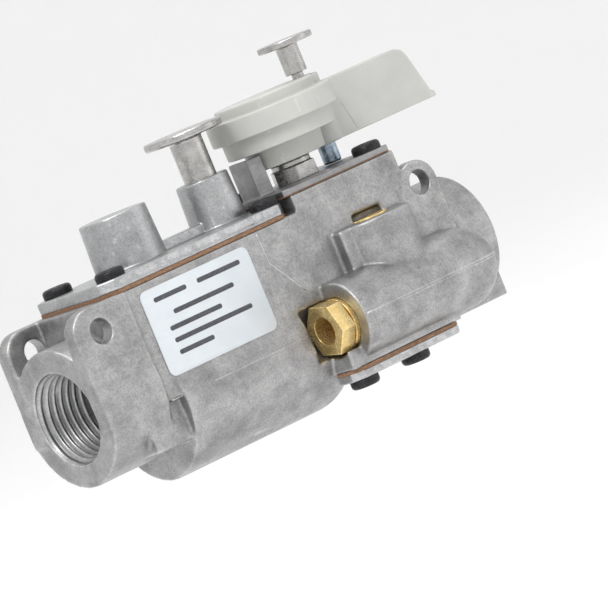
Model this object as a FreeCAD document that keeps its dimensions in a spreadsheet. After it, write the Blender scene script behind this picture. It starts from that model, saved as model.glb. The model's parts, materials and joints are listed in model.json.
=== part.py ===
import FreeCAD, Part
import os
import Sketcher as Sketch
from math import cos, radians, sin

# Gas valve with a lever cock, a press-to-reset safety valve and a pilot outlet.
# Frame: origin at the centre of the inlet mouth, +X along the gas flow,
# +Y to the back, +Z up towards the lever. All lengths are in millimetres.

os.makedirs("parts", exist_ok=True)
doc = FreeCAD.newDocument("gas_valve")

SIZES = {
    # body casting
    "bodyHalfWidth": 14.5,
    "bodyLeft": 10.0,
    "bodyRight": 97.2,
    "deckTop": 20.8,
    "partingLevel": -4.5,
    "skirtHalfWidth": 12.8,
    "skirtBottom": -15.0,
    "housingLeft": 66.6,
    "housingTop": 24.6,
    "bellyRadius": 15.6,
    "bellyLevel": -6.0,
    "bellyLeft": 20.0,
    "bellyRight": 71.0,
    "bellyRound": 10.0,
    # pipe ports
    "inletRadius": 15.5,
    "inletDepth": 16.0,
    "outletRadius": 14.4,
    "outletFace": 115.5,
    "threadRadius": 10.5,
    "threadLength": 14.5,
    # mounting lugs
    "lugProud": 0.4,
    "lugThick": 4.0,
    "lugHole": 2.7,
    "lugCorner": 5.4,
    "lugLeftX": 6.9,
    "lugLeftZ": 15.2,
    "lugRightX": 100.6,
    "lugRightZ": 15.6,
    # pilot gallery and adjuster
    "galleryRadius": 9.2,
    "galleryY": -17.0,
    "galleryZ": -5.0,
    "galleryFace": 64.2,
    "galleryEnd": 98.9,
    "pilotBore": 3.15,
    "nutPocket": 6.6,
    "partingFlash": 0.15,
    "adjustX": 84.0,
    "adjustY": -14.5,
    "adjustTop": 13.2,
    "adjustHole": 4.3,
    # safety valve
    "seatX": 31.0,
    "portRadius": 6.2,
    "chamberFloor": 3.0,
    "pivotX": 44.5,
    "pivotZ": 9.2,
    "pinRadius": 1.0,
    "armBottom": 10.2,
    "armThick": 1.5,
    "discRadius": 7.2,
    "discBottom": 4.7,
    "magnetFace": 17.8,
    "armatureRadius": 5.2,
    # cover
    "gasketThick": 0.8,
    "coverLeft": 12.0,
    "coverRight": 65.4,
    "coverTop": 24.1,
    "coverCorner": 3.0,
    "coverScrewInset": 5.4,
    "coverScrewY": 10.2,
    "towerTop": 35.8,
    "towerRadius": 7.65,
    "towerFoot": 8.2,
    "guideTop": 35.0,
    "guideRadius": 5.95,
    "guideFoot": 6.5,
    "guideX": 56.6,
    # reset plunger
    "resetStem": 3.7,
    "resetTip": 2.2,
    "resetHead": 9.0,
    "resetHeadTop": 46.2,
    "resetHeadThick": 1.7,
    "springBore": 4.4,
    # cock, plate and lever
    "cockX": 80.8,
    "plugTopRadius": 8.4,
    "plugFootRadius": 6.6,
    "plugTop": 18.0,
    "flowZ": 6.6,
    "flowRadius": 3.5,
    "stemRadius": 3.0,
    "plateTop": 26.1,
    "plateThick": 1.3,
    "plateLeft": 65.6,
    "plateRight": 97.0,
    "tabTop": 34.8,
    "glandTop": 30.7,
    "skirtRadius": 9.0,
    "skirtFoot": 31.0,
    "collarRadius": 12.6,
    "collarFoot": 35.3,
    "deckRadius": 14.6,
    "deckFoot": 39.2,
    "padRadius": 11.5,
    "padFoot": 44.1,
    "padTop": 46.6,
    "finFoot": 30.7,
    "finTop": 44.0,
    "finTip": 124.0,
    "finSlant": 3.6,
    "finThick": 5.0,
    "lockX": 91.8,
    "lockPost": 2.1,
    "lockNeck": 1.35,
    "lockStem": 2.5,
    "lockHead": 6.4,
    "lockTop": 55.6,
    # fasteners and fits
    "screwHead": 3.3,
    "screwHeadTall": 2.0,
    "screwShank": 1.5,
    "screwReach": 9.0,
    "fitGap": 0.06,
    # label
    "labelLeft": 19.1,
    "labelRight": 50.0,
    "labelFoot": -0.2,
    "labelTop": 19.0,
    "labelThick": 0.3,
    # bottom cover
    "footLeft": 60.2,
    "footRight": 92.6,
    "footFront": -20.6,
    "footBack": 12.8,
    "footThick": 1.8,
    "footStep": 72.2,
    "footStepY": -13.6,
    "footScrewInset": 4.4,
    "footScrewReach": 6.0,
}


class Size:
    """A length from the sheet: its number, and the expression that keeps it bound."""

    def __init__(self, number, text=None):
        self.number = number
        self.text = text if text is not None else repr(number)

    def combine(self, other, sign, number):
        return Size(number, "(%s %s %s)" % (self.text, sign, other.text))

    def __add__(self, other):
        other = size(other)
        return self.combine(other, "+", self.number + other.number)

    def __sub__(self, other):
        other = size(other)
        return self.combine(other, "-", self.number - other.number)

    def __mul__(self, other):
        other = size(other)
        return self.combine(other, "*", self.number * other.number)

    def __neg__(self):
        return Size(0.0) - self

    __radd__ = __add__


def size(value):
    return value if isinstance(value, Size) else Size(float(value))


sheet = doc.addObject("Spreadsheet::Sheet", "Dims")
for row, (alias, number) in enumerate(SIZES.items(), start=1):
    sheet.set("A%d" % row, alias)
    sheet.set("B%d" % row, str(number))
    sheet.setAlias("B%d" % row, alias)
doc.recompute()


class Dims:
    def __getattr__(self, alias):
        return Size(SIZES[alias], "Dims.%s" % alias)


d = Dims()

ALONG_X = FreeCAD.Rotation(FreeCAD.Vector(0, 1, 0), 90)
ALONG_Y = FreeCAD.Rotation(FreeCAD.Vector(1, 0, 0), -90)
ALONG_Z = FreeCAD.Rotation()
subparts = []


def bind(target, prop, value):
    """Binds a property to its sheet expression."""
    value = size(value)
    target.setExpression(prop, value.text)


def new_body(label):
    body = doc.addObject("PartDesign::Body", label)
    body.Label = label
    subparts.append(body)
    return body


def primitive(body, kind, start, turn, sizes):
    """Adds or subtracts a PartDesign primitive that starts at a point."""
    feature = body.newObject("PartDesign::" + kind, kind)
    x, y, z = [size(v) for v in start]
    base = FreeCAD.Vector(x.number, y.number, z.number)
    feature.Placement = FreeCAD.Placement(base, turn)
    for axis, value in zip("xyz", (x, y, z)):
        bind(feature, "Placement.Base." + axis, value)
    for prop, value in sizes.items():
        setattr(feature, prop, size(value).number)
        bind(feature, prop, value)
    return feature


def rod(body, start, turn, radius, length, cut=False):
    kind = "SubtractiveCylinder" if cut else "AdditiveCylinder"
    return primitive(body, kind, start, turn, {"Radius": radius, "Height": length})


def cone(body, start, turn, radius, end_radius, length, cut=False):
    kind = "SubtractiveCone" if cut else "AdditiveCone"
    sizes = {"Radius1": radius, "Radius2": end_radius, "Height": length}
    return primitive(body, kind, start, turn, sizes)


def block(body, x, y, z, cut=False):
    """A box between two limits on each axis."""
    x, y, z = [[size(v) for v in pair] for pair in (x, y, z)]
    kind = "SubtractiveBox" if cut else "AdditiveBox"
    sizes = {"Length": x[1] - x[0], "Width": y[1] - y[0], "Height": z[1] - z[0]}
    return primitive(body, kind, (x[0], y[0], z[0]), ALONG_Z, sizes)


def plane_of(body, role):
    return [f for f in body.Origin.OriginFeatures if f.Role == role][0]


def outline(body, role, points, offset=0.0):
    """A closed outline of straight runs on an origin plane; every point is bound."""
    sketch = body.newObject("Sketcher::SketchObject", "Outline")
    sketch.AttachmentSupport = (plane_of(body, role), [""])
    sketch.MapMode = "FlatFace"
    bind(sketch, "AttachmentOffset.Base.z", offset)
    points = [(size(u), size(v)) for u, v in points]
    spots = [FreeCAD.Vector(u.number, v.number, 0) for u, v in points]
    count = len(spots)
    for i in range(count):
        sketch.addGeometry(Part.LineSegment(spots[i], spots[(i + 1) % count]), False)
    for i in range(count):
        sketch.addConstraint(Sketch.Constraint("Coincident", i, 2, (i + 1) % count, 1))
    for i, (u, v) in enumerate(points):
        for kind, axis, value in (("DistanceX", -2, u), ("DistanceY", -1, v)):
            if value.number == 0:
                sketch.addConstraint(Sketch.Constraint("PointOnObject", i, 1, axis))
            else:
                rule = Sketch.Constraint(kind, -1, 1, i, 1, value.number)
                index = sketch.addConstraint(rule)
                bind(sketch, "Constraints[%d]" % index, value)
    return sketch


def turned(label, points, x, y, role="XZ_Plane", axis="V_Axis"):
    """A turned piece: (radius, height) points revolved about a vertical axis at (x, y)."""
    body = new_body(label)
    sketch = outline(body, role, points)
    spin = body.newObject("PartDesign::Revolution", "Spin")
    spin.Profile = sketch
    spin.ReferenceAxis = (sketch, [axis])
    spin.Angle = 360
    bind(body, "Placement.Base.x", x)
    bind(body, "Placement.Base.y", y)
    return body


def slab(label, corners, foot, thick):
    """A flat piece: an outline in X and Y, padded up from its underside."""
    body = new_body(label)
    sketch = outline(body, "XY_Plane", corners, foot)
    pad = body.newObject("PartDesign::Pad", "Thickness")
    pad.Profile = sketch
    pad.Length = size(thick).number
    bind(pad, "Length", thick)
    return body


def rectangle(left, right, front, back, corner):
    """An outline with its four corners taken off."""
    left, right, front, back, corner = [size(v) for v in (left, right, front, back, corner)]
    return [
        (left + corner, front), (right - corner, front),
        (right, front + corner), (right, back - corner),
        (right - corner, back), (left + corner, back),
        (left, back - corner), (left, front + corner),
    ]


def cover_screw_spots():
    left = d.coverLeft + d.coverScrewInset
    right = d.coverRight - d.coverScrewInset + 2.0
    return [(x, y) for x in (left, right) for y in (-d.coverScrewY, d.coverScrewY)]


def plate_screw_spots():
    return [(d.plateRight - 3.9, -d.bodyHalfWidth + 3.5), (d.plateLeft + 4.4, d.bodyHalfWidth - 4.0)]


def foot_screw_spots():
    inset = d.footScrewInset
    right = d.footRight - inset
    front = d.footFront + inset - 0.9
    back = d.footBack - inset
    return [(d.footLeft + inset - 0.4, front), (right - 8.8, front), (d.footStep + inset, back), (right, back)]


def foot_outline():
    """The foot joint's outline: it steps in beside the belly at its back left."""
    corner = 2.4
    return [
        (d.footLeft + corner, d.footFront), (d.footRight - corner, d.footFront),
        (d.footRight, d.footFront + corner), (d.footRight, d.footBack - corner),
        (d.footRight - corner, d.footBack), (d.footStep, d.footBack),
        (d.footStep, d.footStepY), (d.footLeft, d.footStepY), (d.footLeft, d.footFront + corner),
    ]


def valve_body():
    """The die-cast body: belly, port bosses, lugs, cock housing, pilot gallery and bores."""
    body = new_body("valve_body")
    belly = rod(body, (d.bellyLeft, 0, d.bellyLevel), ALONG_X, d.bellyRadius, d.bellyRight - d.bellyLeft)
    doc.recompute()
    rounding = body.newObject("PartDesign::Fillet", "BellyEnds")
    rounding.Base = (belly, ["Edge1", "Edge3"])
    rounding.Radius = d.bellyRound.number
    bind(rounding, "Radius", d.bellyRound)
    half = d.bodyHalfWidth
    block(body, (d.bodyLeft, d.bodyRight), (-half, half), (d.partingLevel, d.deckTop))
    block(body, (d.bodyLeft, d.bodyRight), (-d.skirtHalfWidth, d.skirtHalfWidth),
          (d.skirtBottom + 1.2, d.partingLevel + 1.0))
    block(body, (d.housingLeft, d.bodyRight), (-half, half), (d.deckTop - 1.0, d.housingTop))
    rod(body, (0, 0, 0), ALONG_X, d.inletRadius, d.inletDepth)
    rod(body, (d.bodyRight - 3.0, 0, 0), ALONG_X, d.outletRadius, d.outletFace - d.bodyRight + 3.0)
    block(body, (d.bodyRight - 3.0, d.outletFace - 3.4), (-d.outletRadius, d.outletRadius), (d.skirtBottom, 0))
    lugs(body)
    pilot_casting(body)
    safety_bores(body)
    cock_bores(body)
    pilot_bores(body)
    screw_holes(body)
    return body


def lugs(body):
    """Four lug plates, two at each end, with a hole through each along Y."""
    outer = d.bodyHalfWidth + d.lugProud
    corner = d.lugCorner
    left_corner = d.lugLeftX - 1.9
    for front in (-outer, outer - d.lugThick):
        back = front + d.lugThick
        block(body, (left_corner - corner, d.inletDepth), (front, back), (d.partingLevel, d.deckTop - corner))
        block(body, (left_corner, d.inletDepth), (front, back), (0, d.deckTop))
        rod(body, (left_corner, front, d.deckTop - corner), ALONG_Y, corner, d.lugThick)
        block(body, (d.bodyRight - 3.0, d.lugRightX + 5.0), (front, back), (d.partingLevel, d.lugRightZ))
        rod(body, (d.lugRightX, front, d.lugRightZ), ALONG_Y, 5.0, d.lugThick)
    for front in (-outer, outer - d.lugThick):
        for x, z in ((d.lugLeftX, d.lugLeftZ), (d.lugRightX, d.lugRightZ)):
            rod(body, (x, front - 0.2, z), ALONG_Y, d.lugHole, d.lugThick + 0.4, cut=True)


def pilot_casting(body):
    """The pilot gallery along the front, the adjuster boss over it and the foot below."""
    rod(body, (d.galleryFace, d.galleryY, d.galleryZ), ALONG_X, d.galleryRadius, d.galleryEnd - d.galleryFace)
    primitive(body, "AdditiveSphere", (d.galleryEnd, d.galleryY, d.galleryZ), ALONG_Z,
              {"Radius": d.galleryRadius - 0.05})
    rod(body, (d.adjustX, d.adjustY, d.galleryZ), ALONG_Z, d.galleryRadius, d.adjustTop - d.galleryZ)
    flash = (d.partingLevel - d.partingFlash, d.partingLevel + d.partingFlash)
    seam = d.galleryRadius + d.partingFlash
    rod(body, (d.galleryEnd, d.galleryY, d.partingLevel - d.partingFlash), ALONG_Z, seam, 0.3)
    block(body, (d.galleryFace + 0.5, d.galleryEnd), (d.galleryY - seam, d.galleryY), flash)
    block(body, (d.adjustX - 11.4, d.adjustX), (d.adjustY - 3.1, d.adjustY + 1.0), (d.galleryZ, d.adjustTop))
    block(body, (d.footLeft, d.footRight), (d.footFront, d.footBack), (d.skirtBottom, d.galleryZ))


def safety_bores(body):
    """Inlet thread, belly passage, valve port and the chamber under the cover."""
    rod(body, (-1.0, 0, 0), ALONG_X, d.threadRadius, d.threadLength + 1.0, cut=True)
    rod(body, (d.threadLength - 0.5, 0, d.galleryZ), ALONG_X, 5.7, 12.0, cut=True)
    rod(body, (d.bellyLeft + 4.0, 0, d.bellyLevel - 2.0), ALONG_X, 9.3, 41.3, cut=True)
    rod(body, (d.seatX, 0, d.bellyLevel), ALONG_Z, d.portRadius, d.chamberFloor - d.bellyLevel + 1.0, cut=True)
    deep = (d.chamberFloor, d.deckTop + 1.0)
    block(body, (21.5, 57.8), (-10.6, 10.6), deep, cut=True)
    block(body, (57.0, 63.9), (-6.9, 6.9), deep, cut=True)
    rod(body, (d.pivotX - 6.5, 10.0, 12.0), ALONG_Y, 4.0, 6.0, cut=True)


def cock_bores(body):
    """The tapered plug seat, the two flow passages and the outlet thread."""
    cone(body, (d.cockX, 0, 0), ALONG_Z, d.plugFootRadius, d.plugTopRadius, d.plugTop, cut=True)
    rod(body, (d.cockX, 0, d.plugTop), ALONG_Z, 9.2, d.housingTop - d.plugTop + 1.0, cut=True)
    rod(body, (62.0, 0, d.flowZ), ALONG_X, d.flowRadius, 12.8, cut=True)
    rod(body, (86.8, 0, d.flowZ), ALONG_X, d.flowRadius, 15.0, cut=True)
    thread_end = d.outletFace - d.threadLength
    rod(body, (thread_end, 0, 0), ALONG_X, d.threadRadius, d.threadLength + 1.0, cut=True)


def pilot_bores(body):
    """Pilot gas way: filter pocket, gallery bore, adjuster hole and their cross drillings."""
    rod(body, (d.galleryFace - 7.7, d.galleryY, d.galleryZ), ALONG_X, d.nutPocket, 7.7, cut=True)
    rod(body, (d.galleryFace - 1.0, d.galleryY, d.galleryZ), ALONG_X, d.pilotBore, 22.0, cut=True)
    rod(body, (d.galleryFace - 1.0, d.galleryY, d.galleryZ), ALONG_X, 5.9, 5.0, cut=True)
    rod(body, (d.adjustX, d.adjustY, 5.0), ALONG_Z, d.adjustHole, 10.0, cut=True)
    rod(body, (d.adjustX, d.adjustY, d.galleryZ), ALONG_Z, 2.2, 10.4, cut=True)
    rod(body, (80.0, -2.0, d.skirtBottom - 1.0), ALONG_Z, 7.0, 9.0, cut=True)
    rod(body, (60.0, -2.0, -11.0), ALONG_X, 1.2, 15.0, cut=True)
    rod(body, (80.0, -16.0, -7.8), ALONG_Y, 0.9, 9.0, cut=True)


def screw_holes(body):
    """Tapped holes for the cover, plate and foot screws."""
    bore = d.screwShank + 0.05
    deep = d.screwReach - 1.0
    for x, y in cover_screw_spots():
        rod(body, (x, y, d.deckTop - deep), ALONG_Z, bore, deep + 1.0, cut=True)
    for x, y in plate_screw_spots():
        rod(body, (x, y, d.housingTop - deep), ALONG_Z, bore, deep + 1.0, cut=True)
    for x, y in foot_screw_spots():
        rod(body, (x, y, d.skirtBottom - 1.0), ALONG_Z, bore, d.footScrewReach - 1.2, cut=True)


def pierce(body, spots, radius, foot, tall):
    for x, y in spots:
        rod(body, (x, y, foot - 0.5), ALONG_Z, radius, size(tall) + 1.0, cut=True)


def cover_pieces():
    """Gasket and die-cast cover with the magnet tower and the reset guide tower."""
    half = d.bodyHalfWidth
    edge = rectangle(d.coverLeft, d.coverRight, -half, half, d.coverCorner)
    gasket = slab("cover_gasket", edge, d.deckTop, d.gasketThick)
    block(gasket, (21.5, 57.8), (-10.2, 10.2), (d.deckTop - 1.0, d.deckTop + 2.0), cut=True)
    block(gasket, (57.0, 63.7), (-6.9, 6.9), (d.deckTop - 1.0, d.deckTop + 2.0), cut=True)
    pierce(gasket, cover_screw_spots(), d.screwShank + 0.08, d.deckTop, d.gasketThick)
    flange_foot = d.deckTop + d.gasketThick
    cover = slab("top_cover", edge, flange_foot, d.coverTop - flange_foot)
    cone(cover, (d.seatX, 0, d.coverTop - 1.0), ALONG_Z, d.towerFoot, d.towerRadius, d.towerTop - d.coverTop + 1.0)
    cone(cover, (d.guideX, 0, d.coverTop - 1.0), ALONG_Z, d.guideFoot, d.guideRadius,
         d.guideTop - d.coverTop + 1.0)
    rod(cover, (d.guideX, 0, 16.0), ALONG_Z, d.guideFoot, 7.0)
    block(cover, (d.seatX + 6.0, d.guideX - 4.0), (-2.2, 2.2), (d.coverTop - 0.5, d.coverTop + 2.2))
    rod(cover, (d.seatX, 0, 18.0), ALONG_Z, 6.1, 15.4, cut=True)
    rod(cover, (d.guideX, 0, 15.0), ALONG_Z, d.springBore, 13.6, cut=True)
    rod(cover, (d.guideX, 0, 28.0), ALONG_Z, d.resetStem + d.fitGap, 8.0, cut=True)
    pierce(cover, cover_screw_spots(), d.screwShank + 0.08, flange_foot, d.coverTop - flange_foot)


def screws(label, spots, seat, direction, reach):
    """A set of pan-head screws as separate solids in one node, seated at one level."""
    solids = []
    head, tall, shank = d.screwHead.number, d.screwHeadTall.number, d.screwShank.number
    reach = reach.number
    up = FreeCAD.Vector(0, 0, direction)
    for x, y in spots:
        spot = FreeCAD.Vector(x.number, y.number, seat.number)
        cap = Part.makeCylinder(head, tall, spot, up)
        rim = [edge for edge in cap.Edges if len(edge.Vertexes) == 1
               and abs(edge.CenterOfMass.z - seat.number - direction * tall) < 0.01]
        cap = cap.makeFillet(tall * 0.45, rim)
        slot = Part.makeBox(head * 2.2, 0.9, 0.9, FreeCAD.Vector(-head * 1.1, -0.45, -0.45))
        for turn in (0, 90):
            cross = slot.copy()
            cross.rotate(FreeCAD.Vector(), FreeCAD.Vector(0, 0, 1), turn + 20)
            keep = Part.makeCylinder(head * 0.62, tall)
            keep.translate(FreeCAD.Vector(0, 0, -tall / 2))
            cross = cross.common(keep)
            cross.translate(spot + up * (tall - 0.3))
            cap = cap.cut(cross)
        stalk = Part.makeCylinder(shank, reach, spot - up * reach, up)
        solids.append(cap.fuse(stalk).removeSplitter())
    node = doc.addObject("Part::Feature", label)
    node.Label = label
    node.Shape = Part.makeCompound(solids)
    subparts.append(node)


def coil(label, x, y, foot, top, radius, wire, turns):
    """A helical spring between two levels; its round wire is taken as an octagon."""
    foot, top, x, y = [size(v).number for v in (foot, top, x, y)]
    tall = top - foot - 2 * wire
    helix = Part.makeHelix(tall / turns, tall, radius)
    helix = Part.Wire(helix.Edges)
    angles = [radians(45 * i) for i in range(9)]
    section = Part.makePolygon([FreeCAD.Vector(radius + wire * cos(a), 0, wire * sin(a)) for a in angles])
    spring = helix.makePipeShell([section], True, True)
    node = doc.addObject("Part::Feature", label)
    node.Label = label
    node.Shape = spring
    node.Placement = FreeCAD.Placement(FreeCAD.Vector(x, y, foot + wire), FreeCAD.Rotation())
    subparts.append(node)


def safety_valve():
    """Seat, hinged rocker with its disc and armature, bracket, pin and magnet."""
    seat = new_body("valve_seat")
    rod(seat, (d.seatX, 0, d.chamberFloor), ALONG_Z, 8.2, 1.2)
    cone(seat, (d.seatX, 0, d.chamberFloor + 1.2), ALONG_Z, 7.4, 6.8, 0.3)
    rod(seat, (d.seatX, 0, d.chamberFloor - 1.0), ALONG_Z, d.portRadius - 0.4, 4.0, cut=True)

    bracket = new_body("rocker_bracket")
    floor = d.chamberFloor
    block(bracket, (d.pivotX - 4.5, d.pivotX + 4.5), (-6.4, 6.4), (floor, floor + 1.2))
    for front in (-6.4, 5.2):
        block(bracket, (d.pivotX - 3.0, d.pivotX + 3.0), (front, front + 1.2), (floor, d.pivotZ + 2.6))
    rod(bracket, (d.pivotX, -8.0, d.pivotZ), ALONG_Y, d.pinRadius + 0.03, 16.0, cut=True)

    pin = new_body("rocker_pin")
    rod(pin, (d.pivotX, -7.4, d.pivotZ), ALONG_Y, d.pinRadius, 14.0)
    rod(pin, (d.pivotX, -8.2, d.pivotZ), ALONG_Y, d.pinRadius + 0.8, 0.9)

    arm = new_body("rocker_arm")
    arm_top = d.armBottom + d.armThick
    block(arm, (d.seatX - 4.0, d.guideX + 3.4), (-3.6, 3.6), (d.armBottom, arm_top))
    rod(arm, (d.pivotX, -4.6, d.pivotZ), ALONG_Y, 2.0, 9.2)
    rod(arm, (d.pivotX, -5.0, d.pivotZ), ALONG_Y, d.pinRadius + d.fitGap, 10.0, cut=True)
    rod(arm, (d.seatX, 0, d.armBottom - 1.0), ALONG_Z, 1.25, 4.0, cut=True)

    armature = new_body("armature")
    rod(armature, (d.seatX, 0, arm_top), ALONG_Z, d.armatureRadius, 1.4)

    disc = new_body("valve_disc")
    rod(disc, (d.seatX, 0, d.discBottom), ALONG_Z, d.discRadius, 1.4)
    backing = new_body("disc_backing")
    rod(backing, (d.seatX, 0, d.discBottom + 1.4), ALONG_Z, d.discRadius - 0.6, 0.9)
    rod(backing, (d.seatX, 0, d.discBottom + 2.0), ALONG_Z, 2.4, d.armBottom - d.discBottom - 2.0)
    rod(backing, (d.seatX, 0, d.armBottom - 0.5), ALONG_Z, 1.2, d.armThick + 0.5)

    magnet = new_body("magnet_unit")
    rod(magnet, (d.seatX, 0, d.magnetFace + 1.4), ALONG_Z, 5.9, 14.0)
    for side in (-3.2, 1.2):
        block(magnet, (d.seatX + side, d.seatX + side + 2.0), (-2.2, 2.2), (d.magnetFace, d.magnetFace + 2.0))

    socket = new_body("thermocouple_socket")
    rod(socket, (d.pivotX - 6.5, 10.8, 12.0), ALONG_Y, 3.95, 4.0)
    rod(socket, (d.pivotX - 6.5, d.bodyHalfWidth, 12.0), ALONG_Y, 5.4, 4.0)
    rod(socket, (d.pivotX - 6.5, 10.0, 12.0), ALONG_Y, 1.0, 5.0, cut=True)
    rod(socket, (d.pivotX - 6.5, 12.6, 12.0), ALONG_Y, 3.0, 8.0, cut=True)
    coil("valve_spring", d.guideX - 1.2, 0, floor + 0.1, d.armBottom - 0.1, 2.6, 0.35, 5)


def reset_pieces():
    """The press button over the guide tower, its ring, bush and return spring."""
    head_foot = d.resetHeadTop - d.resetHeadThick
    step = Size(28.4)
    turned("reset_plunger", [
        (0, 12.1), (0.8, 12.1), (d.resetTip, 14.4), (d.resetTip, step), (d.resetStem, step),
        (d.resetStem, head_foot - 0.5), (d.resetStem + 0.5, head_foot), (d.resetHead - 0.3, head_foot),
        (d.resetHead, head_foot + 0.3), (d.resetHead, d.resetHeadTop - 0.3),
        (d.resetHead - 0.3, d.resetHeadTop), (0, d.resetHeadTop),
    ], d.guideX, 0)
    ring_bore = d.resetTip + 0.02
    turned("reset_ring", [
        (ring_bore, step - 0.9), (4.15, step - 0.9), (4.15, step), (ring_bore, step),
    ], d.guideX, 0)
    bush_bore = d.resetTip + d.fitGap
    turned("reset_bush", [
        (bush_bore, 16.1), (d.springBore - 0.02, 16.1), (d.springBore - 0.02, 18.6), (bush_bore, 18.6),
    ], d.guideX, 0)
    coil("reset_spring", d.guideX, 0, 18.7, step - 1.0, 3.5, 0.4, 5)


def cock_pieces():
    """Tapered plug with its port, stem, spring, plate with stop tab, gasket and gland nut."""
    gap = d.fitGap
    plug = new_body("cock_plug")
    plug_tall = d.plugTop - 0.4
    cone(plug, (d.cockX, 0, 0.4), ALONG_Z, d.plugFootRadius - gap, d.plugTopRadius - gap, plug_tall)
    rod(plug, (d.cockX - 10.0, 0, d.flowZ), ALONG_X, d.flowRadius, 20.0, cut=True)
    block(plug, (d.cockX - 1.6, d.cockX + 1.6), (-9.0, 9.0), (d.plugTop - 3.0, d.plugTop + 1.0), cut=True)

    stem = new_body("cock_stem")
    rod(stem, (d.cockX, 0, d.plugTop + 0.1), ALONG_Z, 4.2, 1.6)
    rod(stem, (d.cockX, 0, d.plugTop + 0.1), ALONG_Z, d.stemRadius, 23.0)
    block(stem, (d.cockX - 1.5, d.cockX + 1.5), (-5.5, 5.5), (d.plugTop - 2.8, d.plugTop + 0.5))
    rod(stem, (d.cockX, 0, 34.0), ALONG_Z, 1.1, 10.0, cut=True)
    coil("plug_spring", d.cockX, 0, d.plugTop + 0.2, d.housingTop - 0.2, 6.4, 0.5, 4)

    half = d.bodyHalfWidth
    edge = rectangle(d.plateLeft, d.plateRight, -half, half, 1.2)
    seal_thick = d.plateTop - d.plateThick - d.housingTop
    seal = slab("cock_gasket", edge, d.housingTop, seal_thick)
    rod(seal, (d.cockX, 0, d.housingTop - 1.0), ALONG_Z, 9.2, 3.0, cut=True)
    pierce(seal, plate_screw_spots(), d.screwShank + 0.08, d.housingTop, seal_thick)
    plate_foot = d.plateTop - d.plateThick
    plate = slab("cock_plate", edge, plate_foot, d.plateThick)
    block(plate, (67.2, 68.5), (-3.4, 3.4), (plate_foot, d.tabTop))
    block(plate, (67.2, 71.3), (-3.4, -2.1), (plate_foot, d.tabTop))
    rod(plate, (d.cockX, 0, 24.0), ALONG_Z, 3.8, 4.0, cut=True)
    pierce(plate, plate_screw_spots(), d.screwShank + 0.08, plate_foot, d.plateThick)
    reach = d.lockX - d.cockX
    for x, y in ((d.lockX, 0), (d.cockX, -reach)):
        rod(plate, (x, y, 24.0), ALONG_Z, d.lockPost + 0.5, 4.0, cut=True)

    gland = new_body("gland_nut")
    across = 5.5
    corners = [(d.cockX + across * cos(radians(60 * i)), across * sin(radians(60 * i))) for i in range(6)]
    sketch = outline(gland, "XY_Plane", corners, d.plateTop)
    pad = gland.newObject("PartDesign::Pad", "Hexagon")
    pad.Profile = sketch
    pad.Length = 3.4
    bind(pad, "Length", d.glandTop - d.plateTop - 1.2)
    rod(gland, (d.cockX, 0, d.plateTop + 3.0), ALONG_Z, 4.5, d.glandTop - d.plateTop - 3.0)
    rod(gland, (d.cockX, 0, 23.0), ALONG_Z, 3.75, 4.0)
    rod(gland, (d.cockX, 0, 22.0), ALONG_Z, d.stemRadius + gap, 10.0, cut=True)


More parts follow.
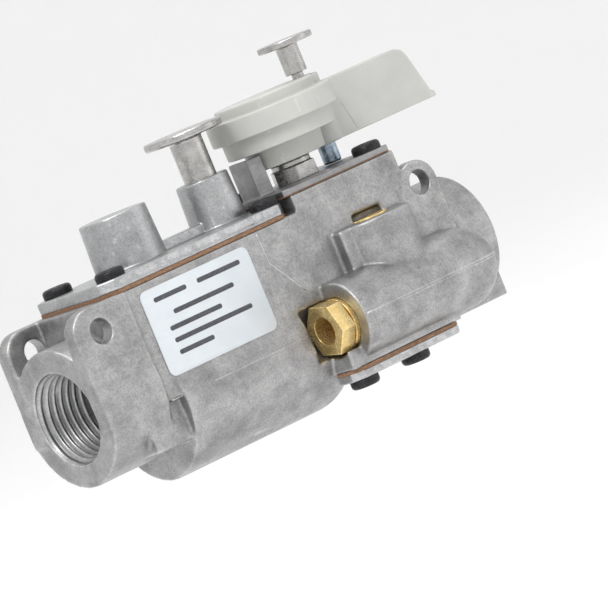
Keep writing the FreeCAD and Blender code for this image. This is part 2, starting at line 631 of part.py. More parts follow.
def lever_pieces():
    """Moulded lever of stacked discs with a radial fin, its screw, and the lock plunger."""
    lever = new_body("lever_handle")
    rod(lever, (d.cockX, 0, d.deckFoot), ALONG_Z, d.deckRadius, d.padFoot - d.deckFoot)
    rod(lever, (d.cockX, 0, d.padFoot - 0.5), ALONG_Z, d.padRadius, d.padTop - d.padFoot + 0.5)
    rod(lever, (d.cockX, 0, d.collarFoot), ALONG_Z, d.collarRadius, d.deckFoot - d.collarFoot + 0.5)
    cone(lever, (d.cockX, 0, d.skirtFoot), ALONG_Z, d.skirtRadius - 0.4, d.skirtRadius,
         d.collarFoot - d.skirtFoot + 0.5)
    half = d.finThick * 0.5
    tip = d.finTip
    sketch = outline(lever, "XZ_Plane", [
        (d.cockX + 3.5, d.finFoot + 0.6), (d.lockX - 2.0, d.finFoot), (tip, d.finFoot), (tip, d.finFoot + 1.2),
        (tip - 1.0, d.finFoot + 1.7), (tip - d.finSlant, d.finTop - 2.6), (tip - d.finSlant - 0.9, d.finTop - 0.8),
        (tip - d.finSlant - 2.8, d.finTop), (d.cockX + 3.5, d.finTop),
    ], -half)
    fin = lever.newObject("PartDesign::Pad", "Fin")
    fin.Profile = sketch
    fin.Length = d.finThick.number
    bind(fin, "Length", d.finThick)
    rod(lever, (d.lockX, 0, d.finFoot), ALONG_Z, 4.2, d.padTop - d.finFoot - 0.2)
    rod(lever, (d.cockX, 0, d.finFoot - 0.5), ALONG_Z, d.stemRadius + 0.04, 11.0, cut=True)
    rod(lever, (d.cockX, 0, 40.0), ALONG_Z, 1.6, 8.0, cut=True)
    rod(lever, (d.cockX, 0, 44.4), ALONG_Z, 3.0, 4.0, cut=True)
    rod(lever, (d.lockX, 0, d.finFoot - 1.0), ALONG_Z, d.lockPost + 0.07, 12.0, cut=True)
    rod(lever, (d.lockX, 0, 40.0), ALONG_Z, 2.9, 8.0, cut=True)

    turned("lever_screw", [
        (0, 35.0), (1.08, 35.0), (1.08, 44.45), (2.9, 44.45), (2.9, 45.6), (2.4, 46.1), (0, 46.1),
    ], d.cockX, 0)
    cap_bore = d.lockNeck + 0.08
    turned("lock_bush", [
        (cap_bore, 44.4), (2.88, 44.4), (2.88, 46.55), (cap_bore, 46.55),
    ], d.lockX, 0)
    head_foot = d.lockTop - 1.4
    turned("lock_plunger", [
        (0, 38.1), (d.lockNeck, 38.1), (d.lockNeck, 47.75), (d.lockStem, 47.75),
        (d.lockStem, head_foot - 0.4), (d.lockStem + 0.4, head_foot), (d.lockHead - 0.2, head_foot),
        (d.lockHead, head_foot + 0.2), (d.lockHead, d.lockTop - 0.2), (d.lockHead - 0.2, d.lockTop),
        (0, d.lockTop),
    ], d.lockX, 0)
    turned("lock_post", [
        (0, 26.4), (d.lockPost - 0.3, 26.4), (d.lockPost, 26.7), (d.lockPost, 38.1), (0, 38.1),
    ], d.lockX, 0)
    ring_bore = d.lockNeck + 0.02
    turned("lock_ring", [
        (ring_bore, 43.4), (2.6, 43.4), (2.6, 44.1), (ring_bore, 44.1),
    ], d.lockX, 0)
    coil("lock_spring", d.lockX, 0, 40.1, 43.3, 2.2, 0.25, 4)


def pilot_pieces():
    """Brass tube nut, ferrule sleeve, adjuster screw with its ring, and the gas filter."""
    nut_face = d.galleryFace - 5.0
    nut = new_body("pilot_nut")
    corner = 6.3
    spots = [(d.galleryY + corner * cos(radians(60 * i + 8)), d.galleryZ + corner * sin(radians(60 * i + 8)))
             for i in range(6)]
    sketch = outline(nut, "YZ_Plane", spots, nut_face)
    hexagon = nut.newObject("PartDesign::Pad", "Hexagon")
    hexagon.Profile = sketch
    hexagon.Length = 3.9
    rod(nut, (nut_face + 3.8, d.galleryY, d.galleryZ), ALONG_X, 4.9, 4.9)
    rod(nut, (nut_face - 1.0, d.galleryY, d.galleryZ), ALONG_X, d.pilotBore + 0.05, 12.0, cut=True)

    sleeve = new_body("pilot_ferrule")
    rod(sleeve, (nut_face + 8.75, d.galleryY, d.galleryZ), ALONG_X, d.pilotBore - 0.03, 3.0)
    rod(sleeve, (nut_face + 8.0, d.galleryY, d.galleryZ), ALONG_X, 2.4, 5.0, cut=True)

    ring = new_body("pilot_seat_ring")
    rod(ring, (d.galleryFace - 0.9, d.galleryY, d.galleryZ), ALONG_X, 5.86, 1.8)
    rod(ring, (d.galleryFace - 2.0, d.galleryY, d.galleryZ), ALONG_X, 4.94, 4.0, cut=True)

    adjuster = new_body("pilot_adjuster")
    top = d.adjustTop + 0.3
    rod(adjuster, (d.adjustX, d.adjustY, 7.4), ALONG_Z, d.adjustHole - d.fitGap, top - 7.4)
    rod(adjuster, (d.adjustX, d.adjustY, 2.0), ALONG_Z, 1.9, 6.0)
    cone(adjuster, (d.adjustX, d.adjustY, -0.6), ALONG_Z, 0.6, 1.9, 2.6)
    block(adjuster, (d.adjustX - 6.0, d.adjustX + 6.0), (d.adjustY - 0.5, d.adjustY + 0.5), (top - 0.8, top + 1.0),
          cut=True)
    seal = new_body("adjuster_seal")
    rod(seal, (d.adjustX, d.adjustY, 5.3), ALONG_Z, 3.9, 1.6)
    rod(seal, (d.adjustX, d.adjustY, 4.0), ALONG_Z, 1.98, 4.0, cut=True)

    gauze = new_body("pilot_filter")
    rod(gauze, (80.0, -2.0, d.skirtBottom + 0.3), ALONG_Z, 6.6, 6.4)
    rod(gauze, (80.0, -2.0, d.skirtBottom), ALONG_Z, 3.0, 5.0, cut=True)


def foot_pieces():
    """Gasket and cover under the pilot filter pocket."""
    edge = foot_outline()
    gasket_foot = d.skirtBottom - d.gasketThick
    gasket = slab("bottom_gasket", edge, gasket_foot, d.gasketThick)
    rod(gasket, (80.0, -2.0, gasket_foot - 1.0), ALONG_Z, 7.0, 3.0, cut=True)
    pierce(gasket, foot_screw_spots(), d.screwShank + 0.08, gasket_foot, d.gasketThick)
    cover_foot = gasket_foot - d.footThick
    cover = slab("bottom_cover", edge, cover_foot, d.footThick)
    pierce(cover, foot_screw_spots(), d.screwShank + 0.08, cover_foot, d.footThick)
    screws("bottom_cover_screws", foot_screw_spots(), cover_foot, -1, d.footScrewReach)


def label_plate():
    """The thin rating plate on the front face, left blank."""
    plate = new_body("label_plate")
    left, right, foot, top = d.labelLeft, d.labelRight, d.labelFoot, d.labelTop
    corner = 1.4
    sketch = outline(plate, "XZ_Plane", [
        (left + corner, foot), (right - corner, foot), (right, foot + corner), (right, top - corner),
        (right - corner, top), (left + corner, top), (left, top - corner), (left, foot + corner),
    ], d.bodyHalfWidth)
    pad = plate.newObject("PartDesign::Pad", "Thickness")
    pad.Profile = sketch
    pad.Length = d.labelThick.number
    bind(pad, "Length", d.labelThick)


def check_and_export():
    """Recomputes, refuses any failed feature, then writes one file per sub-part."""
    doc.recompute()
    failed = [o.Name for o in doc.Objects if {"Invalid", "Error"} & set(o.State)]
    assert not failed, failed
    for node in subparts:
        assert not node.Shape.isNull() and node.Shape.isValid(), node.Label
    for node in subparts:
        node.Shape.exportStep("parts/%s.step" % node.Label)
        print("%-22s solids %d  volume %10.1f" % (node.Label, len(node.Shape.Solids), node.Shape.Volume))


valve_body()
cover_pieces()
screws("cover_screws", cover_screw_spots(), d.coverTop, 1, d.screwReach)
safety_valve()
reset_pieces()
cock_pieces()
screws("cock_plate_screws", plate_screw_spots(), d.plateTop, 1, d.screwReach)
lever_pieces()
pilot_pieces()
foot_pieces()
label_plate()
check_and_export()
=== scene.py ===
"""Gas valve: the looks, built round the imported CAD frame. Lengths are in metres."""
import json
import math

import bmesh
import bpy
from mathutils import Matrix, Vector


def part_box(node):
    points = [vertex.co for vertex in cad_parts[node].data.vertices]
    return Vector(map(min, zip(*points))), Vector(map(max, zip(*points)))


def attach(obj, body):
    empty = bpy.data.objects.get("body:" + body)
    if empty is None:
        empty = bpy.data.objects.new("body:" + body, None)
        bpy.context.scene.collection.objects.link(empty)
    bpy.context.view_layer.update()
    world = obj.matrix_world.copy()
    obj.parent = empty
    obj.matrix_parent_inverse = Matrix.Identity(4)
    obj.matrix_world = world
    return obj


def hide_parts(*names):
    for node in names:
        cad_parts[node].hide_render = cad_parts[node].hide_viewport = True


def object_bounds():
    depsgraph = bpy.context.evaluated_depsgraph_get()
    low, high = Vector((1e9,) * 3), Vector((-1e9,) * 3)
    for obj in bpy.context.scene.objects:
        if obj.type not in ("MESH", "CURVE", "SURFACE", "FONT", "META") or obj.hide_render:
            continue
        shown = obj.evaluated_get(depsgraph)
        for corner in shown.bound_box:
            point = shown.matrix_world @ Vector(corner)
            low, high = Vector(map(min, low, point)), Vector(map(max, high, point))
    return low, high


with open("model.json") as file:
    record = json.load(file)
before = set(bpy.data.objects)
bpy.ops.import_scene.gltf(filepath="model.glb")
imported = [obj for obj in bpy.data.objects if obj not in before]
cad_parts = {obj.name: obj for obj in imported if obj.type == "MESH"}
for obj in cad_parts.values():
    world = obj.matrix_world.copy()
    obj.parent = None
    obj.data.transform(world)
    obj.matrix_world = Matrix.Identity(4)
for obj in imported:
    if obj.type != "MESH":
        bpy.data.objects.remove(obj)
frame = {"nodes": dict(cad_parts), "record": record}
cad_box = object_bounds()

MM = 0.001
NODES = frame["nodes"]
SLOT_OF = {row["node"]: row["material_slot"] for row in frame["record"]["subparts"]}


# ---------------------------------------------------------------- material tools


class Shader:
    """A procedural material on object coordinates, which are the frame's own metres."""

    def __init__(self, name, metallic):
        self.material = bpy.data.materials.new(name)
        self.material.use_nodes = True
        self.tree = self.material.node_tree
        self.bsdf = self.tree.nodes["Principled BSDF"]
        self.bsdf.inputs["Metallic"].default_value = metallic
        self.bsdf.inputs["IOR"].default_value = 1.5
        self.place = self.node("ShaderNodeTexCoord").outputs["Object"]

    def node(self, kind, **props):
        made = self.tree.nodes.new(kind)
        for prop, value in props.items():
            setattr(made, prop, value)
        return made

    def link(self, source, target):
        self.tree.links.new(source, target)

    def stretched(self, scale):
        """The coordinates scaled along each axis; below 1 draws a pattern out along it."""
        mapping = self.node("ShaderNodeMapping")
        mapping.inputs["Scale"].default_value = scale
        self.link(self.place, mapping.inputs["Vector"])
        return mapping.outputs["Vector"]

    def noise(self, size, detail=3.0, roughness=0.55, place=None):
        """Noise whose features are about `size` metres across."""
        made = self.node("ShaderNodeTexNoise")
        made.inputs["Scale"].default_value = 1.0 / size
        made.inputs["Detail"].default_value = detail
        made.inputs["Roughness"].default_value = roughness
        self.link(place or self.place, made.inputs["Vector"])
        return made.outputs["Fac"]

    def tool_lines(self, size, direction):
        """Fine lines across an axis, about `size` metres apart, as a lathe tool leaves them."""
        made = self.node("ShaderNodeTexWave", wave_type="BANDS", bands_direction=direction)
        made.inputs["Scale"].default_value = 0.16 / size
        made.inputs["Distortion"].default_value = 1.2
        made.inputs["Detail"].default_value = 2.0
        self.link(self.place, made.inputs["Vector"])
        return made.outputs["Fac"]

    def ramp(self, value, *stops):
        """A colour ramp: (position, grey level or colour) stops."""
        made = self.node("ShaderNodeValToRGB")
        points = made.color_ramp.elements
        while len(points) < len(stops):
            points.new(0.5)
        for point, (position, colour) in zip(points, stops):
            if not isinstance(colour, tuple):
                colour = (colour, colour, colour)
            point.position = position
            point.color = (*colour, 1.0)
        self.link(value, made.inputs["Fac"])
        return made.outputs["Color"]

    def shaded(self, tone, shade, amount):
        """A tone multiplied by a shade, by an amount from 0 to 1."""
        made = self.node("ShaderNodeMix", data_type="RGBA", blend_type="MULTIPLY")
        colours = [socket for socket in made.inputs if socket.type == "RGBA"]
        made.inputs["Factor"].default_value = amount
        self.link(tone, colours[0])
        self.link(shade, colours[1])
        return [socket for socket in made.outputs if socket.type == "RGBA"][0]

    def edges(self, low, high):
        """Bright on convex edges as rubbed wear, dark in corners as painted shade, from the mesh's own
        curvature.
        """
        geometry = self.node("ShaderNodeNewGeometry")
        return self.ramp(geometry.outputs["Pointiness"], (0.44, low), (0.5, 1.0), (0.56, high))

    def bump(self, *layers):
        """Stacks (height, depth in metres) layers into one normal."""
        normal = None
        for height, depth in layers:
            made = self.node("ShaderNodeBump")
            made.inputs["Strength"].default_value = 1.0
            made.inputs["Distance"].default_value = depth
            self.link(height, made.inputs["Height"])
            if normal is not None:
                self.link(normal, made.inputs["Normal"])
            normal = made.outputs["Normal"]
        self.link(normal, self.bsdf.inputs["Normal"])

    def colour(self, socket):
        self.link(socket, self.bsdf.inputs["Base Color"])

    def roughness(self, socket):
        self.link(socket, self.bsdf.inputs["Roughness"])


def cast_aluminium(name, dark, light, grain, rough):
    """Die-cast skin: blotches from the die, fine sandy grain, flow streaks, rubbed edges, painted shade in
    the corners.
    """
    s = Shader(name, metallic=0.9)
    blotch = s.ramp(s.noise(6.5 * MM, 6.0, 0.66), (0.30, dark), (0.68, light))
    streak = s.ramp(s.noise(1.6 * MM, 3.0, 0.6, s.stretched((0.28, 1.0, 1.0))), (0.3, 0.88), (0.7, 1.0))
    speck = s.ramp(s.noise(0.42 * MM, 4.0, 0.75), (0.36, 0.62), (0.56, 1.0))
    tone = s.shaded(s.shaded(blotch, streak, 0.7), speck, 0.75)
    # darker in the corners as painted shade, paler on convex edges as rubbed wear
    s.colour(s.shaded(tone, s.edges(0.62, 1.28), 1.0))
    s.roughness(s.ramp(s.noise(0.8 * MM, 3.0), (0.25, rough - 0.08), (0.75, rough + 0.12)))
    s.bump((s.noise(0.34 * MM, 3.0, 0.7), grain), (s.noise(2.6 * MM, 2.0), grain * 2.2))
    return s.material


def turned_metal(name, dark, light, rough):
    """Turned or drawn metal with fine tool lines and faint handling marks."""
    s = Shader(name, metallic=1.0)
    lines = s.tool_lines(0.16 * MM, "Z")
    stain = s.ramp(s.noise(2.4 * MM, 4.0, 0.6), (0.35, dark), (0.65, light))
    s.colour(s.shaded(stain, s.ramp(lines, (0.0, 0.86), (1.0, 1.0)), 0.6))
    s.roughness(s.ramp(s.noise(0.6 * MM, 3.0), (0.3, rough - 0.05), (0.7, rough + 0.08)))
    s.bump((lines, 0.006 * MM), (s.noise(0.3 * MM, 2.0), 0.006 * MM))
    return s.material


def rolled_steel(name):
    """Cold-rolled plate: darker, with long faint roll lines."""
    s = Shader(name, metallic=0.95)
    roll = s.noise(0.5 * MM, 3.0, 0.6, s.stretched((0.06, 1.0, 1.0)))
    stain = s.ramp(s.noise(3.2 * MM, 4.0, 0.65), (0.3, (0.27, 0.265, 0.27)), (0.7, (0.40, 0.395, 0.40)))
    s.colour(s.shaded(stain, s.ramp(roll, (0.3, 0.78), (0.7, 1.0)), 0.8))
    s.roughness(s.ramp(roll, (0.2, 0.36), (0.8, 0.52)))
    s.bump((roll, 0.012 * MM), (s.noise(0.25 * MM, 2.0), 0.01 * MM))
    return s.material


def zinc_plate(name):
    """Blue passivated zinc with faint clouding."""
    s = Shader(name, metallic=1.0)
    cloud = s.noise(1.4 * MM, 3.0, 0.5)
    blue, pale, grey = (0.20, 0.26, 0.33), (0.34, 0.41, 0.48), (0.45, 0.49, 0.50)
    s.colour(s.ramp(cloud, (0.3, blue), (0.55, pale), (0.75, grey)))
    s.roughness(s.ramp(s.noise(0.5 * MM), (0.3, 0.24), (0.7, 0.36)))
    s.bump((s.noise(0.3 * MM, 2.0), 0.008 * MM))
    return s.material


def brass(name):
    """Machined brass: warm yellow, darker in the corners from painted shade, fine tool lines."""
    s = Shader(name, metallic=0.8)
    lines = s.tool_lines(0.14 * MM, "X")
    stain = s.ramp(s.noise(1.8 * MM, 4.0, 0.6), (0.30, (0.74, 0.52, 0.20)), (0.62, (0.90, 0.70, 0.33)))
    tone = s.shaded(stain, s.ramp(lines, (0.0, 0.92), (1.0, 1.0)), 0.6)
    # darker in the corners as painted shade, a little paler on convex edges as wear
    s.colour(s.shaded(tone, s.edges(0.7, 1.15), 1.0))
    s.roughness(s.ramp(s.noise(0.4 * MM), (0.3, 0.22), (0.7, 0.36)))
    s.bump((lines, 0.003 * MM), (s.noise(0.5 * MM, 2.0), 0.003 * MM))
    return s.material


def black_oxide(name):
    """Black oxide screws: nearly black, worn paler on the rims, with painted shade in the corners."""
    s = Shader(name, metallic=0.6)
    tone = s.ramp(s.noise(0.9 * MM, 3.0), (0.3, (0.010, 0.010, 0.011)), (0.7, (0.030, 0.030, 0.032)))
    # paler on the rims as wear, darker in the corners as painted shade
    s.colour(s.shaded(tone, s.edges(0.6, 2.4), 1.0))
    s.roughness(s.ramp(s.noise(0.4 * MM), (0.3, 0.36), (0.7, 0.52)))
    s.bump((s.noise(0.22 * MM, 2.0), 0.012 * MM))
    return s.material


def gasket_fibre(name):
    """Compressed fibre sheet: tan-brown, with short strands."""
    s = Shader(name, metallic=0.0)
    strand = s.noise(0.35 * MM, 4.0, 0.7, s.stretched((0.35, 0.6, 1.6)))
    speck = s.noise(0.2 * MM, 2.0, 0.8)
    dark, brown, tan = (0.12, 0.060, 0.030), (0.27, 0.150, 0.085), (0.42, 0.285, 0.19)
    tone = s.ramp(strand, (0.28, dark), (0.52, brown), (0.74, tan))
    s.colour(s.shaded(tone, s.ramp(speck, (0.3, 0.72), (0.6, 1.0)), 0.8))
    s.roughness(s.ramp(speck, (0.2, 0.78), (0.8, 0.95)))
    s.bump((strand, 0.08 * MM), (speck, 0.04 * MM))
    return s.material


def moulded_plastic(name):
    """Warm grey moulded plastic: faint flow clouds and a fine grain, with painted shade in the corners."""
    s = Shader(name, metallic=0.0)
    cloud = s.ramp(s.noise(9.0 * MM, 4.0, 0.6), (0.3, (0.47, 0.475, 0.45)), (0.7, (0.53, 0.535, 0.505)))
    grain = s.noise(0.16 * MM, 2.0, 0.6)
    tone = s.shaded(cloud, s.ramp(grain, (0.3, 0.93), (0.6, 1.0)), 0.7)
    # darker in the corners as painted shade, slightly paler on convex edges as wear
    s.colour(s.shaded(tone, s.edges(0.88, 1.10), 1.0))
    s.roughness(s.ramp(s.noise(1.2 * MM, 3.0), (0.3, 0.46), (0.7, 0.58)))
    s.bump((grain, 0.008 * MM), (s.noise(2.2 * MM, 2.0), 0.02 * MM))
    return s.material


def plain_soft(name, dark, light, rough, size, depth):
    """Rubber, felt or the lever seam's painted shade: cloudy tone and its own small-scale surface."""
    s = Shader(name, metallic=0.0)
    s.colour(s.ramp(s.noise(size * 4, 4.0), (0.3, dark), (0.7, light)))
    s.roughness(s.ramp(s.noise(size * 2), (0.3, rough - 0.05), (0.7, rough + 0.05)))
    s.bump((s.noise(size, 3.0, 0.7), depth))
    return s.material


def label_foil(name):
    """Pale blue-grey coated foil with a brushed grain and slight waviness."""
    s = Shader(name, metallic=0.08)
    brush = s.noise(0.22 * MM, 3.0, 0.6, s.stretched((0.05, 1.0, 1.0)))
    cloud = s.ramp(s.noise(8.0 * MM, 2.0), (0.3, (0.62, 0.66, 0.69)), (0.7, (0.68, 0.72, 0.75)))
    s.colour(s.shaded(cloud, s.ramp(brush, (0.3, 0.94), (0.7, 1.0)), 0.7))
    s.roughness(s.ramp(brush, (0.2, 0.34), (0.8, 0.46)))
    s.bump((brush, 0.003 * MM), (s.noise(5.0 * MM, 1.0), 0.03 * MM))
    return s.material


def label_ink(name):
    """Dark grey print, slightly uneven as a thermal ribbon leaves it."""
    s = Shader(name, metallic=0.0)
    s.colour(s.ramp(s.noise(0.25 * MM, 3.0), (0.3, (0.035, 0.037, 0.042)), (0.75, (0.10, 0.105, 0.115))))
    s.roughness(s.ramp(s.noise(0.5 * MM), (0.3, 0.45), (0.7, 0.6)))
    s.bump((s.noise(0.2 * MM), 0.002 * MM))
    return s.material


MATERIALS = {
    "body_cast": cast_aluminium("body_cast", (0.28, 0.277, 0.277), (0.50, 0.497, 0.497), 0.045 * MM, 0.40),
    "cover_cast": cast_aluminium("cover_cast", (0.38, 0.383, 0.39), (0.54, 0.545, 0.55), 0.016 * MM, 0.34),
    "foot_cast": cast_aluminium("foot_cast", (0.36, 0.36, 0.365), (0.52, 0.52, 0.525), 0.020 * MM, 0.38),
    "fibre": gasket_fibre("fibre"),
    "screw_black": black_oxide("screw_black"),
    "steel_plate": rolled_steel("steel_plate"),
    "bright_steel": turned_metal("bright_steel", (0.40, 0.39, 0.38), (0.56, 0.55, 0.535), 0.28),
    "zinc_steel": zinc_plate("zinc_steel"),
    "spring_wire": turned_metal("spring_wire", (0.36, 0.36, 0.37), (0.55, 0.55, 0.56), 0.3),
    "brass_part": brass("brass_part"),
    "nitrile": plain_soft("nitrile", (0.012, 0.012, 0.012), (0.03, 0.03, 0.03), 0.7, 0.3 * MM, 0.01 * MM),
    "felt": plain_soft("felt", (0.42, 0.38, 0.30), (0.66, 0.62, 0.54), 0.92, 0.4 * MM, 0.12 * MM),
    "lever_plastic": moulded_plastic("lever_plastic"),
    "label_sheet": label_foil("label_sheet"),
}
INK = label_ink("label_ink")
# the seam's dark tone is painted shade, standing in for the shadow in its groove
SEAM_SHADE = plain_soft("lever_seam_shade", (0.20, 0.20, 0.19), (0.30, 0.30, 0.28), 0.6, 0.3 * MM, 0.004 * MM)


# ---------------------------------------------------------------- mesh tools


def add_piece(name, make, body, material):
    """Makes a mesh object with `make`, which fills a bmesh, and lets it ride on a body."""
    mesh = bpy.data.meshes.new(name)
    work = bmesh.new()
    make(work)
    bmesh.ops.recalc_face_normals(work, faces=work.faces)
    for face in work.faces:
        face.smooth = True
    work.to_mesh(mesh)
    work.free()
    piece = bpy.data.objects.new(name, mesh)
    bpy.context.scene.collection.objects.link(piece)
    piece.data.materials.append(material)
    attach(piece, body)
    return piece


def stitch(work, first, second):
    """Joins two rings of as many points with a band of faces."""
    count = len(first)
    for k in range(count):
        n = (k + 1) % count
        work.faces.new((first[k], first[n], second[n], second[k]))


def bead(work, points, radius, sides=8):
    """A thin round bead along a line of points, closed at both ends."""
    rings = []
    for i, point in enumerate(points):
        ahead = points[min(i + 1, len(points) - 1)]
        behind = points[max(i - 1, 0)]
        along = (ahead - behind).normalized()
        across = along.cross(Vector((0.0, 0.0, 1.0)))
        if across.length < 0.1:
            across = along.cross(Vector((0.0, 1.0, 0.0)))
        across.normalize()
        third = along.cross(across)
        ring = []
        for k in range(sides):
            turn = 2 * math.pi * k / sides
            outward = math.cos(turn) * across + math.sin(turn) * third
            ring.append(work.verts.new(point + radius * outward))
        rings.append(ring)
    for first, second in zip(rings, rings[1:]):
        stitch(work, first, second)
    work.faces.new(rings[0])
    work.faces.new(rings[-1])


def straight(start, end, steps):
    """Evenly spaced points from start to end, both included."""
    return [start.lerp(end, i / steps) for i in range(steps + 1)]


def arc(centre, radius, start, end, count):
    """Points on a level arc, angles in degrees from +X towards +Y."""
    angles = [math.radians(start + (end - start) * i / (count - 1)) for i in range(count)]
    return [centre + radius * Vector((math.cos(a), math.sin(a), 0.0)) for a in angles]


def rounded_slab(work, low, high, corner, bulge, steps=6):
    """A thin plate with rounded corners in XZ, from y = high.y (back) to low.y (front)."""
    outline = []
    for cx, cz, start in (
        (high.x - corner, high.z - corner, 0),
        (low.x + corner, high.z - corner, 90),
        (low.x + corner, low.z + corner, 180),
        (high.x - corner, low.z + corner, 270),
    ):
        for i in range(steps + 1):
            a = math.radians(start + 90 * i / steps)
            outline.append((cx + corner * math.cos(a), cz + corner * math.sin(a), math.cos(a), math.sin(a)))
    levels = ((high.y, 0.0), (low.y + bulge, 0.0), (low.y, bulge))
    rings = []
    for y, inset in levels:
        rings.append([work.verts.new((x - inset * nx, y, z - inset * nz)) for x, z, nx, nz in outline])
    for first, second in zip(rings, rings[1:]):
        stitch(work, first, second)
    work.faces.new(rings[0])
    work.faces.new(rings[-1])


def remade(node, voxel, rounds, keep):
    """Gives a CAD node cast or moulded edges: an even skin, relaxed so its corners round over."""
    skin = node.modifiers.new("skin", "REMESH")
    skin.mode = "VOXEL"
    skin.voxel_size = voxel
    skin.use_smooth_shade = True
    relax = node.modifiers.new("relax", "SMOOTH")
    relax.factor = 0.5
    relax.iterations = rounds
    thin = node.modifiers.new("thin", "DECIMATE")
    thin.ratio = keep


# ---------------------------------------------------------------- CAD nodes

SMALL = (0.12 * MM, 2, 0.6)
FINE = (0.11 * MM, 2, 0.6)
SCREW = (0.13 * MM, 3, 0.5)

# how each node's edges are rounded: voxel size, rounds of relaxing, share of faces kept
ROUNDED = {
    "valve_body": (0.34 * MM, 7, 0.5),
    "top_cover": (0.24 * MM, 7, 0.6),
    "bottom_cover": (0.24 * MM, 3, 0.5),
    "lever_handle": (0.22 * MM, 5, 0.6),
    "cock_plate": (0.16 * MM, 2, 0.5),
    "gland_nut": SMALL,
    "pilot_nut": FINE,
    "pilot_seat_ring": FINE,
    "pilot_adjuster": SMALL,
    "reset_plunger": (0.15 * MM, 2, 0.6),
    "lock_plunger": SMALL,
    "lock_post": SMALL,
    "cover_screws": SCREW,
    "cock_plate_screws": SCREW,
    "bottom_cover_screws": SCREW,
    "thermocouple_socket": (0.13 * MM, 2, 0.6),
    "lever_screw": SMALL,
}

for name, node in NODES.items():
    node.data.materials.clear()
    node.data.materials.append(MATERIALS[SLOT_OF[name]])
    if name in ROUNDED:
        remade(node, *ROUNDED[name])


# ---------------------------------------------------------------- frame places

body_low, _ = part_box("valve_body")
cover_low, cover_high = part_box("top_cover")
_, gasket_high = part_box("cover_gasket")
label_low, label_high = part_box("label_plate")
nut_low, nut_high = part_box("pilot_nut")
mounts = {mount["name"]: mount for mount in frame["record"]["mounts"]}

# the casting's front face, its die's parting level and the belly, gallery and fin it meets
FRONT = label_high.y
PARTING = -4.5 * MM
BELLY_LEFT = 20.0 * MM
BELLY_ROUND = 10.0 * MM
BELLY_RADIUS = 15.6 * MM
BELLY_DROP = 1.5 * MM
PANEL_RIGHT = 54.0 * MM
GALLERY_Y = (nut_low.y + nut_high.y) / 2
GALLERY_LEFT = nut_low.x + 5.6 * MM
GALLERY_END = 98.9 * MM
FIN_HALF = 2.5 * MM

# thin raised lines: their radii, and how far they are let into the surface
BEAD = 0.16 * MM
FLASH = 0.17 * MM
FAINT_FLASH = 0.10 * MM
SUNK = 0.03 * MM

# 1/2-14 pipe thread; depth in pitches, crest and flank shape its ridge, taper is on the radius
INCH = 25.4 * MM
THREADS_PER_INCH = 14
THREAD_DEPTH = 0.62
THREAD_CREST = 0.82
THREAD_FLANK = 2.35
THREAD_TAPER = 1 / 32
THREAD_SKIN = 0.04 * MM
THREAD_START = 0.2 * MM

# the camera's sensor in millimetres, and its focal length and frame in pixels
SENSOR = 36.0
FOCAL = 6000.0
FRAME = 608.0


# ---------------------------------------------------------------- added pieces


def pipe_thread(name, face, inward):
    """The tapered pipe thread in a port: one helical ridge on the bore's wall."""
    dims = mounts[name]["dims"]
    wall = dims["r_mm"] * MM
    rim = wall + 0.25 * MM
    length = (dims["length_mm"] - 0.6) * MM
    pitch = INCH / THREADS_PER_INCH
    around = 96
    along = int(length / pitch * 10)

    def bore_radius(depth, turns):
        phase = (depth / pitch - turns) % 1.0
        ridge = min(THREAD_CREST, max(0.0, 1.0 - abs(phase - 0.5) * THREAD_FLANK))
        run_out = min(1.0, depth / pitch, (length - depth) / pitch)
        return wall - THREAD_SKIN - THREAD_DEPTH * pitch * ridge * run_out - depth * THREAD_TAPER

    def ring(work, x, radii):
        turns = [2 * math.pi * i / around for i in range(around)]
        return [work.verts.new((x, r * math.cos(a), r * math.sin(a))) for r, a in zip(radii, turns)]

    def make(work):
        inner, outer = [], []
        for j in range(along + 1):
            depth = length * j / along
            x = face + inward * (THREAD_START + depth)
            inner.append(ring(work, x, [bore_radius(depth, i / around) for i in range(around)]))
            outer.append(ring(work, x, [rim] * around))
        for j in range(along):
            stitch(work, inner[j], inner[j + 1])
            stitch(work, outer[j + 1], outer[j])
        stitch(work, outer[0], inner[0])
        stitch(work, inner[-1], outer[-1])

    add_piece(name + "_thread", make, "casing", MATERIALS["foot_cast"])


def front_skin(x):
    """How far forward the casting's front is at the parting level: the flat, or the belly over it."""
    inside = min(BELLY_ROUND, max(0.0, x - BELLY_LEFT))
    rounding = math.sqrt(BELLY_ROUND**2 - (BELLY_ROUND - inside) ** 2)
    swell = BELLY_RADIUS - BELLY_ROUND + rounding
    if x <= BELLY_LEFT or swell <= BELLY_DROP:
        return FRONT
    return min(FRONT, -math.sqrt(swell**2 - BELLY_DROP**2))


def panel_edge():
    """The thin raised edge down the front, from the cover to the pilot nut's pocket."""
    y = FRONT + SUNK
    top = Vector((PANEL_RIGHT, y, 20.2 * MM))
    knee = Vector((PANEL_RIGHT + 0.3 * MM, y, 13.3 * MM))
    foot = Vector((PANEL_RIGHT + 6.6 * MM, y, 4.6 * MM))

    def make(work):
        bead(work, straight(top, knee, 6)[:-1] + straight(knee, foot, 8), BEAD)

    add_piece("panel_edge", make, "casing", MATERIALS["cover_cast"])


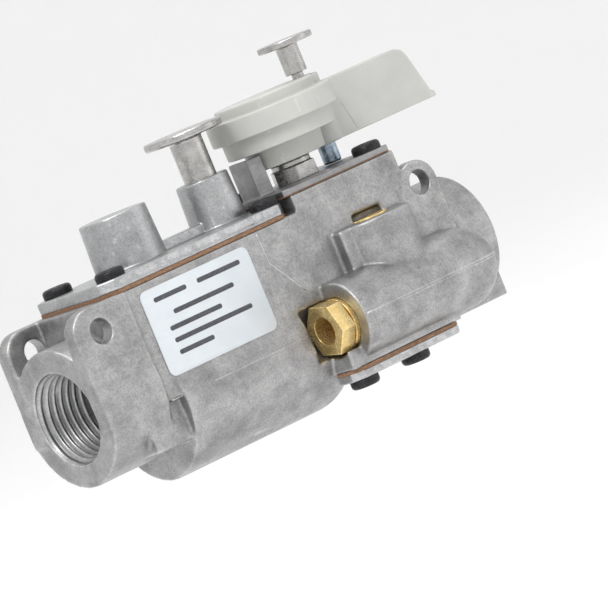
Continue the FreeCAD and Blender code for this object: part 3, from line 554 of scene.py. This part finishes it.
def parting_line():
    """The flash line left where the die's halves met, along the front and round the gallery."""
    reach = GALLERY_Y - body_low.y - FLASH
    start = Vector((GALLERY_LEFT, GALLERY_Y - reach, PARTING))
    bend = Vector((GALLERY_END, GALLERY_Y - reach, PARTING))
    centre = Vector((GALLERY_END, GALLERY_Y, PARTING))
    below = Vector((0.0, SUNK, -0.62 * MM))

    def make(work):
        steps = [x * MM for x in range(17, 57)]
        bead(work, [Vector((x, front_skin(x) + SUNK, PARTING)) for x in steps], FLASH)
        run = straight(start, bend, 10)[:-1] + arc(centre, reach, -90, -8, 14)
        bead(work, run, BEAD)
        bead(work, [point + below for point in run[3:-3]], FAINT_FLASH)

    add_piece("parting_line", make, "casing", MATERIALS["cover_cast"])


def cover_rib():
    """The thin raised line along the cover's front edge."""
    level = gasket_high.z + 0.75 * MM
    y = cover_low.y + 0.02 * MM
    left = Vector((cover_low.x + 15.6 * MM, y, level))
    right = Vector((cover_high.x - 10.8 * MM, y, level))

    def make(work):
        bead(work, straight(left, right, 12), BEAD)

    add_piece("cover_rib", make, "casing", MATERIALS["cover_cast"])


def label_sheet():
    """The label as a thin foil with rounded corners."""

    def make(work):
        rounded_slab(work, label_low, label_high, 1.7 * MM, 0.06 * MM)

    piece = add_piece("label_foil", make, "casing", MATERIALS["label_sheet"])
    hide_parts("label_plate")


def label_print():
    """Plain printed bars on the label, which carry no words or marks."""
    # each bar's start and end along the label and its level up it, as shares
    bars = (
        (0.10, 0.40, 0.86), (0.50, 0.90, 0.86), (0.22, 0.78, 0.66),
        (0.14, 0.62, 0.50), (0.14, 0.86, 0.36), (0.14, 0.46, 0.22),
    )
    width = label_high.x - label_low.x
    height = label_high.z - label_low.z
    tall = 0.055 * height
    front = label_low.y - 0.01 * MM
    back = label_low.y + 0.05 * MM

    def make(work):
        for start, end, level in bars:
            foot = label_low.z + level * height - tall / 2
            low = Vector((label_low.x + start * width, front, foot))
            high = Vector((label_low.x + end * width, back, foot + tall))
            rounded_slab(work, low, high, tall * 0.45, 0.004 * MM, steps=4)

    add_piece("label_print", make, "casing", INK)


def lever_seam_shade():
    """The thin knit line down each side of the lever's fin, as a dark raised line of painted shade for its
    groove.
    """

    def make(work):
        for side in (-1.0, 1.0):
            y = side * (FIN_HALF - 0.01 * MM)
            top = Vector((98.2 * MM, y, 38.0 * MM))
            foot = Vector((99.8 * MM, y, 31.2 * MM))
            bead(work, straight(top, foot, 6), 0.05 * MM, sides=6)

    add_piece("lever_seam_shade", make, "lever", SEAM_SHADE)


pipe_thread("inlet_port", mounts["inlet_port"]["pos_m"][0], 1.0)
pipe_thread("outlet_port", mounts["outlet_port"]["pos_m"][0], -1.0)
panel_edge()
parting_line()
cover_rib()
label_sheet()
label_print()
lever_seam_shade()


# ---------------------------------------------------------------- studio


def cyclorama():
    """A pale floor that curves up into a pale wall all the way round."""
    level, flat, rise, wall = -85.0 * MM, 1.5, 0.9, 1.6
    bends = [math.radians(90 * i / 12) for i in range(1, 13)]
    profile = [(flat, 0.0)]
    profile += [(flat + rise * math.sin(a), rise * (1 - math.cos(a))) for a in bends]
    profile.append((flat + rise, wall))
    turns = [2 * math.pi * i / 64 for i in range(64)]
    mesh = bpy.data.meshes.new("floor")
    work = bmesh.new()
    rings = []
    for r, z in profile:
        rings.append([work.verts.new((r * math.cos(a), r * math.sin(a), level + z)) for a in turns])
    work.faces.new(rings[0])
    for first, second in zip(rings, rings[1:]):
        stitch(work, second, first)
    for face in work.faces:
        face.smooth = True
    work.to_mesh(mesh)
    work.free()
    floor = bpy.data.objects.new("floor", mesh)
    bpy.context.scene.collection.objects.link(floor)
    floor.data.materials.append(pale_floor())


def pale_floor():
    """Matt off-white, very slightly clouded."""
    s = Shader("pale_floor", metallic=0.0)
    s.colour(s.ramp(s.noise(0.2), (0.0, 0.93), (1.0, 0.95)))
    s.bsdf.inputs["Roughness"].default_value = 0.9
    return s.material


def softbox(name, place, aim, width, height, watts):
    """A rectangular area light at a place, aimed at a point."""
    lamp = bpy.data.lights.new(name, "AREA")
    lamp.shape = "RECTANGLE"
    lamp.size = width
    lamp.size_y = height
    lamp.energy = watts
    light = bpy.data.objects.new(name, lamp)
    bpy.context.scene.collection.objects.link(light)
    light.location = place
    light.rotation_mode = "QUATERNION"
    light.rotation_quaternion = (Vector(aim) - Vector(place)).to_track_quat("-Z", "Y")


def studio():
    """A pale room, a key light over the inlet's side, a top light and a weak fill."""
    cyclorama()
    middle = (cad_box[0] + cad_box[1]) / 2
    softbox("key", middle + Vector((-0.55, -0.45, 0.75)), middle, 0.40, 0.40, 4.2)
    softbox("top", middle + Vector((0.15, 0.10, 0.95)), middle, 0.5, 0.4, 2.6)
    softbox("fill", middle + Vector((0.80, -0.70, 0.25)), middle, 0.6, 0.6, 0.8)
    world = bpy.data.worlds.new("studio")
    world.use_nodes = True
    background = world.node_tree.nodes["Background"]
    background.inputs["Color"].default_value = (1.0, 1.0, 1.0, 1.0)
    background.inputs["Strength"].default_value = 0.92
    bpy.context.scene.world = world
    bpy.context.scene.view_settings.view_transform = "Standard"


def camera():
    """A long lens, a little above the object, on its front and inlet side, and rolled."""
    azimuth, elevation, roll = math.radians(-36.68), math.radians(3.98), math.radians(22.31)
    distance = 1.3105
    target = Vector((0.06956, 0.0, 0.00083))
    flat = math.cos(elevation)
    back = Vector((math.sin(azimuth) * flat, -math.cos(azimuth) * flat, math.sin(elevation)))
    right = Vector((math.cos(azimuth), math.sin(azimuth), 0.0))
    up = back.cross(right)
    turned_right = math.cos(roll) * right - math.sin(roll) * up
    turned_up = math.sin(roll) * right + math.cos(roll) * up
    lens = bpy.data.cameras.new("camera")
    lens.sensor_width = SENSOR
    lens.lens = SENSOR * FOCAL / FRAME
    lens.clip_start = 0.05
    lens.clip_end = 20.0
    eye = bpy.data.objects.new("camera", lens)
    bpy.context.scene.collection.objects.link(eye)
    axes = Matrix((turned_right, turned_up, back)).transposed()
    eye.matrix_world = Matrix.Translation(target + back * distance) @ axes.to_4x4()
    bpy.context.scene.camera = eye


studio()
camera()
